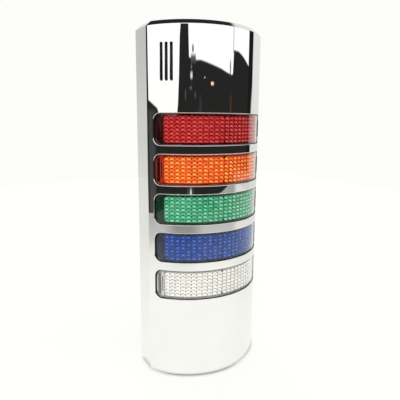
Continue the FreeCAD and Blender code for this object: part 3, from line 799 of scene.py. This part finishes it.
def makeStudio():
    world = bpy.data.worlds.new("studio")
    world.use_nodes = True
    world.cycles.sampling_method = "NONE"    # the sky differs by kind of ray, so it isn't sampled as one map
    tree = world.node_tree
    tree.nodes.clear()
    direction = addNode(tree, "TexCoord").outputs["Generated"]
    split = addNode(tree, "SeparateXYZ", {0: direction}).outputs
    ahead = mathOf(tree, "MULTIPLY", split["Y"], -1.0)
    azimuth = mathOf(tree, "DEGREES", mathOf(tree, "ARCTAN2", split["X"], ahead))
    elevation = mathOf(tree, "DEGREES", mathOf(tree, "ARCSINE", split["Z"]))
    level = roomLevel(tree, azimuth, elevation)
    # matt surfaces, and whatever they light through the clear windows, get the plain level
    ray = addNode(tree, "LightPath").outputs
    later = mathOf(tree, "GREATER_THAN", ray["Diffuse Depth"], 0.5)
    matt = mathOf(tree, "MAXIMUM", ray["Is Diffuse Ray"], later)
    warmth = fade(tree, elevation, *studio["warmthReach"], studio["lowWarmth"], 1.0)
    blueLevel = mathOf(tree, "MULTIPLY", level, warmth)
    colour = addNode(tree, "CombineColor", {0: level, 1: level, 2: blueLevel}).outputs[0]
    for glowAzimuth, glowElevation, (halfWidth, halfHeight), glowColour in studio["glows"]:
        across = mathOf(tree, "DIVIDE", mathOf(tree, "SUBTRACT", azimuth, glowAzimuth), halfWidth)
        upwards = mathOf(tree, "DIVIDE", mathOf(tree, "SUBTRACT", elevation, glowElevation), halfHeight)
        reach = mathOf(tree, "ADD", mathOf(tree, "POWER", across, 2.0), mathOf(tree, "POWER", upwards, 2.0))
        colour = colourBlend(tree, fade(tree, reach, *studio["glowEdge"]), colour, glowColour)
    plain = (studio["plainLevel"],) * 3
    painted = addNode(tree, "Background", {"Color": colourBlend(tree, matt, colour, plain)})
    backdrop = addNode(tree, "Background", {"Color": (*studio["backdrop"], 1)})
    backgrounds = {0: ray["Is Camera Ray"], 1: painted.outputs[0], 2: backdrop.outputs[0]}
    shown = addNode(tree, "MixShader", backgrounds)
    output = addNode(tree, "OutputWorld", {0: shown.outputs[0]})
    output.is_active_output = True
    bpy.context.scene.world = world


table = {
    # corners, in mm; the front edge stands further out at the right
    "corners": [(-520, -500), (190, -500), (250, -660), (760, -660), (760, 900), (-520, 900)],
    # what polished surfaces see of it, painted light and shade by distance in m from the object, in front and
    # behind
    "frontLevels": [(0.0, 1.04), (0.15, 1.02), (0.20, 1.0), (0.29, 0.90), (0.36, 0.60), (0.46, 0.49),
                    (0.6, 0.45), (1.0, 0.30)],
    "backLevels": [(0.0, 0.99), (0.10, 0.97), (0.20, 0.92), (0.35, 0.82), (0.60, 0.79), (1.0, 0.77)],
    "backTurn": 0.75,         # the line between front and back turns towards the right
    "backReach": (-0.09, 0.08),
    "warmth": (1.0, 0.997, 0.955),
    # painted shadow on the table at the front left, as polished surfaces see it
    "shadePlace": (-0.27, -0.36, 0.0),               # a dimmer stretch at the front left
    "shadeReach": (0.08, 0.27),
    "shadeDepth": 0.45,
    # painted contact shadow: ambient occlusion darkens what polished surfaces see of the table under the
    # object
    "contactShadow": 0.004,         # m, reach of the dark line under the object, as polished surfaces see it
    # painted shadow line: ambient occlusion darkens the table at the foot, as the camera sees it
    "shadowLine": 0.0026,           # and as the camera sees it
    "shadowLinePlace": (-0.014, -0.0185, 0.0),             # where that is clear; away from there it fades
    "shadowLineReach": (0.016, 0.034),
    "shadowLineFaint": 0.2,
    "lineSamples": 8,
    "shadowShare": 0.22,      # how much of the object's shadow the camera sees
}


def tableFinish():
    material = bpy.data.materials.new("tableTop")
    material.use_nodes = True
    tree = material.node_tree
    tree.nodes.clear()
    place = addNode(tree, "TexCoord").outputs["Object"]

    def distanceFrom(middle):
        return addNode(tree, "VectorMath", {0: place, 1: middle}, operation="DISTANCE").outputs["Value"]

    # what polished surfaces see, all painted: its level of light in front and behind, the painted shadow at
    # the front left and the painted contact shadow
    away = distanceFrom((0.0, 0.0, 0.0))
    split = addNode(tree, "SeparateXYZ", {0: place}).outputs
    aside = mathOf(tree, "ADD", split["Y"], mathOf(tree, "MULTIPLY", split["X"], table["backTurn"]))
    behind = fade(tree, aside, *table["backReach"])
    front, back = (addRamp(tree, away, table[name]) for name in ("frontLevels", "backLevels"))
    level = blendOf(tree, behind, front, back)
    dim = fade(tree, distanceFrom(table["shadePlace"]), *table["shadeReach"], 1 - table["shadeDepth"], 1.0)
    contactShadow = addNode(tree, "AmbientOcclusion", {"Distance": table["contactShadow"]},
                      samples=table["lineSamples"]).outputs["AO"]
    level = mathOf(tree, "MULTIPLY", level, mathOf(tree, "MULTIPLY", dim, contactShadow))
    tone = addNode(tree, "Mix", {0: 1.0, 6: level, 7: (*table["warmth"], 1)}, data_type="RGBA",
                   blend_type="MULTIPLY").outputs[2]
    gloss = addNode(tree, "Emission", {"Color": tone})
    # the camera sees a flat tone with the painted shadow line under the foot, and some of the shadow
    matt = addNode(tree, "BsdfDiffuse", {"Color": (*studio["backdrop"], 1)})
    shadowLine = addNode(tree, "AmbientOcclusion", {"Distance": table["shadowLine"]},
                   samples=table["lineSamples"]).outputs["AO"]
    depth = fade(tree, distanceFrom(table["shadowLinePlace"]), *table["shadowLineReach"], 1.0, table["shadowLineFaint"])
    plain = colourBlend(tree, blendOf(tree, depth, 1.0, shadowLine), (0.0, 0.0, 0.0), studio["backdrop"])
    plain = addNode(tree, "Emission", {"Color": plain})
    shown = addNode(tree, "MixShader", {0: table["shadowShare"], 1: plain.outputs[0], 2: matt.outputs[0]})
    ray = addNode(tree, "LightPath").outputs
    sharp = mathOf(tree, "MAXIMUM", ray["Is Glossy Ray"], ray["Is Transmission Ray"])
    sharp = mathOf(tree, "MULTIPLY", sharp, mathOf(tree, "LESS_THAN", ray["Diffuse Depth"], 0.5))
    mirrored = addNode(tree, "MixShader", {0: sharp, 1: matt.outputs[0], 2: gloss.outputs[0]})
    final = addNode(tree, "MixShader", {0: ray["Is Camera Ray"], 1: mirrored.outputs[0], 2: shown.outputs[0]})
    addNode(tree, "OutputMaterial", {"Surface": final.outputs[0]})
    return material


def makeTable():
    mesh = bpy.data.meshes.new("table")
    corners = [(x * mm, y * mm, 0) for x, y in table["corners"]]
    mesh.from_pydata(corners, [], [tuple(range(len(corners)))])
    mesh.materials.append(tableFinish())
    top = bpy.data.objects.new("table", mesh)
    bpy.context.scene.collection.objects.link(top)


lamps = {
    "keyLamp": {"place": (-0.7, -0.9, 1.1), "size": 0.9, "power": 5.0, "colour": (1.0, 0.985, 0.96)},
    "fillLamp": {"place": (0.9, -0.6, 0.7), "size": 0.8, "power": 2.2, "colour": (0.97, 0.985, 1.0)},
    "backLamp": {"place": (0.2, 1.2, 0.8), "size": 0.8, "power": 3.0, "colour": (1.0, 1.0, 1.0)},
}


def makeLamps():
    target = Vector((0, 0, body["height"] / 2 * mm))
    for name, look in lamps.items():
        light = bpy.data.lights.new(name, "AREA")
        light.size = look["size"]
        light.energy = look["power"]
        light.color = look["colour"]
        lamp = bpy.data.objects.new(name, light)
        place = Vector(look["place"])
        lamp.matrix_world = Matrix.LocRotScale(place, (target - place).to_track_quat("-Z", "Y"), None)
        lamp.visible_glossy = False    # mirrors show the painted room only
        bpy.context.scene.collection.objects.link(lamp)


# Each finish: two tones that mottle together, roughness from low to high, and the heights of its
# slow waves and its fine bump. Heights and sizes are in mm: mottle is the slow change of tone, grain
# the fine one. Names that start with a capital are the shader's own sockets.
finishLooks = {
    "chrome_cover": {"tones": [(0.93, 0.93, 0.925), (0.89, 0.89, 0.885)], "mottle": 22, "grain": 0.25,
                     "roughness": (0.010, 0.028), "waves": 0.004, "bump": 0.0002, "Metallic": 1.0},
    "base_plastic": {"tones": [(0.60, 0.60, 0.58), (0.68, 0.68, 0.66)], "mottle": 30, "grain": 0.35,
                     "roughness": (0.42, 0.60), "bump": 0.012},
    "frame_white": {"tones": [(0.86, 0.86, 0.84), (0.92, 0.92, 0.90)], "mottle": 18, "grain": 0.3,
                    "roughness": (0.35, 0.5), "bump": 0.006},
    "board_green": {"tones": [(0.03, 0.17, 0.08), (0.07, 0.29, 0.15)], "mottle": 3.5, "grain": 0.6,
                    "roughness": (0.22, 0.42), "bump": 0.01, "Coat Weight": 0.5, "cells": True},
    "sounder_black": {"tones": [(0.022, 0.022, 0.023), (0.038, 0.038, 0.038)], "mottle": 9, "grain": 0.3,
                      "roughness": (0.38, 0.55), "bump": 0.008},
    "screen_mesh": {"tones": [(0.018, 0.018, 0.018), (0.08, 0.08, 0.08)], "mottle": 4, "grain": 0.35,
                    "roughness": (0.65, 0.9), "bump": 0.06, "weave": True},
    "terminal_plastic": {"tones": [(0.07, 0.28, 0.17), (0.12, 0.38, 0.25)], "mottle": 8, "grain": 0.3,
                         "roughness": (0.38, 0.52), "bump": 0.008},
    "plated_steel": {"tones": [(0.58, 0.58, 0.57), (0.68, 0.68, 0.68)], "mottle": 2.5, "grain": 0.12,
                     "roughness": (0.18, 0.36), "bump": 0.003, "Metallic": 1.0},
    "trimmer_blue": {"tones": [(0.03, 0.13, 0.42), (0.06, 0.20, 0.55)], "mottle": 4, "grain": 0.25,
                     "roughness": (0.35, 0.5), "bump": 0.006},
    "rotor_white": {"tones": [(0.82, 0.82, 0.77), (0.88, 0.88, 0.84)], "mottle": 2.5, "grain": 0.2,
                    "roughness": (0.3, 0.45), "bump": 0.004},
    "switch_red": {"tones": [(0.46, 0.03, 0.03), (0.60, 0.06, 0.05)], "mottle": 4, "grain": 0.25,
                   "roughness": (0.35, 0.5), "bump": 0.006},
    "slider_white": {"tones": [(0.84, 0.84, 0.81), (0.90, 0.90, 0.88)], "mottle": 2, "grain": 0.2,
                     "roughness": (0.3, 0.45), "bump": 0.004},
    "can_aluminium": {"tones": [(0.66, 0.66, 0.67), (0.76, 0.76, 0.77)], "mottle": 3, "grain": 0.15,
                      "roughness": (0.22, 0.36), "bump": 0.003, "Metallic": 1.0},
    "chip_black": {"tones": [(0.024, 0.024, 0.027), (0.04, 0.04, 0.044)], "mottle": 3, "grain": 0.15,
                   "roughness": (0.5, 0.68), "bump": 0.006},
    "resistor_black": {"tones": [(0.03, 0.03, 0.03), (0.07, 0.07, 0.07)], "mottle": 1.5, "grain": 0.1,
                       "roughness": (0.3, 0.5), "bump": 0.004},
    "seal_rubber": {"tones": [(0.045, 0.045, 0.045), (0.085, 0.085, 0.083)], "mottle": 6, "grain": 0.5,
                    "roughness": (0.7, 0.9), "bump": 0.05, "cells": True},
}
ledTones = {
    "red": [(0.80, 0.18, 0.13), (0.90, 0.28, 0.22)],
    "amber": [(0.90, 0.50, 0.10), (0.96, 0.62, 0.18)],
    "green": [(0.48, 0.80, 0.52), (0.58, 0.88, 0.64)],
    "blue": [(0.38, 0.52, 0.86), (0.48, 0.62, 0.92)],
    "clear": [(0.90, 0.88, 0.66), (0.96, 0.94, 0.78)],
}
ledLook = {"mottle": 2, "grain": 0.2, "roughness": (0.1, 0.2), "bump": 0.002, "Coat Weight": 0.6}
for ledColour, ledPair in ledTones.items():
    finishLooks["led_" + ledColour] = {**ledLook, "tones": ledPair}
# painted shade for the openings' walls, which stand in shadow
shadedWallLook = {"tones": [(0.018, 0.018, 0.019), (0.030, 0.030, 0.031)], "mottle": 6, "grain": 0.3,
               "roughness": (0.30, 0.42), "bump": 0.004}

# The moulded colours: the clear skin, then one or two tones for each finish of the optic plate; bright and
# deep are painted highlight and painted shade, dot and dark paint shade where cells meet. Glow is the
# strength of a painted glow, emission that stands for the light that the moulding gathers and scatters.
lensLooks = {
    "red": {
        "glow": 0.26,
        "skin": (1.0, 0.82, 0.81),
        "prism": [(0.60, 0.030, 0.032), (0.84, 0.075, 0.075)],
        "bright": [(0.76, 0.055, 0.055), (0.94, 0.16, 0.15)],
        "deep": [(0.17, 0.005, 0.006), (0.34, 0.012, 0.014)],
        "dark": (0.05, 0.003, 0.004),
        "dot": (0.26, 0.010, 0.012),
        "border": [(0.018, 0.002, 0.003), (0.030, 0.003, 0.004)],
        "strip": [(0.05, 0.003, 0.004), (0.08, 0.006, 0.007)],
    },
    "amber": {
        "glow": 0.42,
        "skin": (1.0, 0.92, 0.84),
        "prism": [(1.0, 0.15, 0.030), (1.0, 0.27, 0.050)],
        "bright": [(1.0, 0.28, 0.04), (1.0, 0.76, 0.12)],
        "deep": [(0.80, 0.060, 0.014), (0.96, 0.12, 0.024)],
        "dark": (0.05, 0.005, 0.003),
        "dot": (0.66, 0.05, 0.012),
        "border": [(0.34, 0.014, 0.008), (0.46, 0.03, 0.016)],
        "strip": [(0.58, 0.05, 0.03), (0.70, 0.08, 0.04)],
    },
    "green": {
        "glow": 0.26,
        "skin": (0.86, 1.0, 0.93),
        "prism": [(0.085, 0.46, 0.25), (0.16, 0.62, 0.37)],
        "bright": [(0.18, 0.66, 0.41), (0.42, 0.92, 0.68)],
        "deep": [(0.020, 0.20, 0.10), (0.05, 0.33, 0.18)],
        "dark": (0.006, 0.08, 0.04),
        "dot": (0.04, 0.26, 0.14),
        "border": [(0.003, 0.024, 0.015), (0.005, 0.038, 0.024)],
        "strip": [(0.004, 0.035, 0.022), (0.007, 0.05, 0.03)],
    },
    "blue": {
        "glow": 0.24,
        "skin": (0.74, 0.85, 1.0),
        "prism": [(0.009, 0.060, 0.31), (0.018, 0.10, 0.44)],
        "bright": [(0.020, 0.12, 0.50), (0.10, 0.28, 0.80)],
        "deep": [(0.004, 0.022, 0.11), (0.008, 0.04, 0.17)],
        "dark": (0.001, 0.008, 0.04),
        "dot": (0.006, 0.03, 0.14),
        "border": [(0.005, 0.006, 0.012), (0.007, 0.009, 0.018)],
        "strip": [(0.008, 0.010, 0.024), (0.012, 0.015, 0.036)],
    },
    "clear": {
        "glow": 0.32,
        "skin": (1.0, 1.0, 0.99),
        "prism": [(0.90, 0.88, 0.84), (0.99, 0.97, 0.93)],
        "bright": [(1.0, 0.99, 0.96), (1.0, 1.0, 0.98)],
        "deep": [(0.70, 0.67, 0.62), (0.90, 0.87, 0.81)],
        "dark": (0.22, 0.21, 0.20),
        "dot": (0.50, 0.49, 0.46),
        "border": [(0.32, 0.32, 0.315), (0.50, 0.50, 0.49)],
        "strip": [(0.90, 0.90, 0.88), (0.98, 0.98, 0.96)],
    },
}
skinLook = {"roughness": (0.012, 0.035), "mottle": 12, "grain": 0.3, "waves": 0.004, "bump": 0.0001,
            "Transmission Weight": 1.0, "IOR": 1.47, "Specular IOR Level": 0.3}
prismLook = {"roughness": (0.14, 0.26), "mottle": 5.5, "grain": 0.35, "bump": 0.002, "Metallic": 0.10,
             "Specular IOR Level": 0.25}
borderLook = {"roughness": (0.12, 0.28), "mottle": 6, "grain": 0.3, "bump": 0.002}
secondTone = {"skin": 0.94, "optic": 0.7}      # share of the first tone, where a look gives one tone only
mottling = {
    "grainShare": 0.3,        # of the fine grain in the mottle
    "toneReach": (0.32, 0.68),
    "roughnessReach": (0.3, 0.7),
    "waveSize": 0.6,          # share of the mottle's size
    "threadScale": 0.5,
    "threadWander": 0.4,
}


def makeFinish(name, look):
    material = bpy.data.materials.new(name)
    material.use_nodes = True
    tree = material.node_tree
    shader = tree.nodes["Principled BSDF"]
    place = addNode(tree, "TexCoord").outputs["Object"]

    def noise(size, detail):
        return addNode(tree, "TexNoise", {"Vector": place, "Scale": 1 / (size * mm), "Detail": detail})

    def threads(direction):
        inputs = {"Vector": place, "Scale": mottling["threadScale"] / (look["grain"] * mm),
                  "Distortion": mottling["threadWander"]}
        return addNode(tree, "TexWave", inputs, bands_direction=direction).outputs["Fac"]

    mottle = noise(look["mottle"], 2.0).outputs["Fac"]
    if look.get("weave"):
        grain = mathOf(tree, "MAXIMUM", threads("X"), threads("Z"))
    elif look.get("cells"):
        inputs = {"Vector": place, "Scale": 1 / (look["grain"] * mm)}
        grain = addNode(tree, "TexVoronoi", inputs).outputs["Distance"]
    else:
        grain = noise(look["grain"], 3.0).outputs["Fac"]
    mixed = blendOf(tree, mottling["grainShare"], mottle, grain)
    shade = addRamp(tree, mixed, list(zip(mottling["toneReach"], look["tones"])))
    tree.links.new(shade, shader.inputs["Base Color"])
    roughness = fade(tree, mixed, *mottling["roughnessReach"], *look["roughness"])
    tree.links.new(roughness, shader.inputs["Roughness"])
    bump = {"Height": grain, "Distance": look["bump"] * mm}
    if "waves" in look:
        slow = noise(look["mottle"] * mottling["waveSize"], 0.0).outputs["Fac"]
        waves = addNode(tree, "Bump", {"Height": slow, "Distance": look["waves"] * mm})
        bump["Normal"] = waves.outputs["Normal"]
    tree.links.new(addNode(tree, "Bump", bump).outputs["Normal"], shader.inputs["Normal"])
    for socket, value in look.items():
        if socket[0].isupper():
            shader.inputs[socket].default_value = value
    return material


def lensFinishes(colour):
    # the clear skin's finish, and those of the optic plate in the order that its faces name them
    look = lensLooks[colour]
    pale = tuple(secondTone["skin"] * c for c in look["skin"])
    skinFinish = makeFinish(colour + "Skin", {**skinLook, "tones": [look["skin"], pale]})
    finishes = []
    for tone in opticTones:
        pair = look[tone]
        if isinstance(pair, tuple):
            pair = [pair, tuple(secondTone["optic"] * c for c in pair)]
        base = {**(prismLook if tone in ("prism", "bright", "deep") else borderLook), "tones": pair}
        # prism and highlight facets glow a little: a painted glow, emission in their own tone
        if tone in ("prism", "bright"):
            base.update({"Emission Color": (*pair[0], 1), "Emission Strength": look["glow"]})
        finishes.append(makeFinish(colour + tone.capitalize(), base))
    return skinFinish, finishes


def dressNodes(finishes):
    # the frame's own nodes keep their shape and take their finish from the record's slot
    count = 0
    for row in frame["record"]["subparts"]:
        node = frame["nodes"].get(row["node"])
        slot = row["material_slot"]
        if node is None or slot not in finishLooks:
            continue
        if slot not in finishes:
            finishes[slot] = makeFinish(slot, finishLooks[slot])
        for place in node.material_slots:
            place.material = finishes[slot]
        count += 1
    return count


view = {
    "place": (-135.8, -229.4, 159.0),
    "turn": 29.46,            # to the right of straight ahead, in degrees
    "tilt": -10.5,            # below the level
    "roll": 0.41,
    "lens": 37.92,
    "clipStart": 0.01,        # m
}


def makeCamera():
    turn, tilt, roll = (math.radians(view[name]) for name in ("turn", "tilt", "roll"))
    ahead = Vector((math.sin(turn) * math.cos(tilt), math.cos(turn) * math.cos(tilt), math.sin(tilt)))
    level = Vector((math.cos(turn), -math.sin(turn), 0))
    up = level.cross(ahead)
    right = level * math.cos(roll) + up * math.sin(roll)
    up = up * math.cos(roll) - level * math.sin(roll)
    lens = bpy.data.cameras.new("camera")
    lens.lens = view["lens"]
    lens.clip_start = view["clipStart"]
    camera = bpy.data.objects.new("camera", lens)
    camera.matrix_world = Matrix.LocRotScale(
        Vector(view["place"]) * mm, Matrix((right, up, -ahead)).transposed(), None)
    bpy.context.scene.collection.objects.link(camera)
    bpy.context.scene.camera = camera


# everything together
bpy.context.scene.view_settings.view_transform = "Standard"
makeCamera()
makeStudio()
makeTable()
makeLamps()
print("studio ready")
finishes = {"chrome_cover": makeFinish("chromePlate", finishLooks["chrome_cover"])}
makeFrontCover([finishes["chrome_cover"], makeFinish("shadedOpeningWall", shadedWallLook)])
print("front cover made")
for colour, middle in zip(tierColours, tierMiddles):
    skinFinish, opticFinishes = lensFinishes(colour)
    makeLens(colour, middle, skinFinish)
    makeOptic(colour, middle, opticFinishes)
print("windows made:", ", ".join(tierColours))
print("frame's own nodes dressed:", dressNodes(finishes))
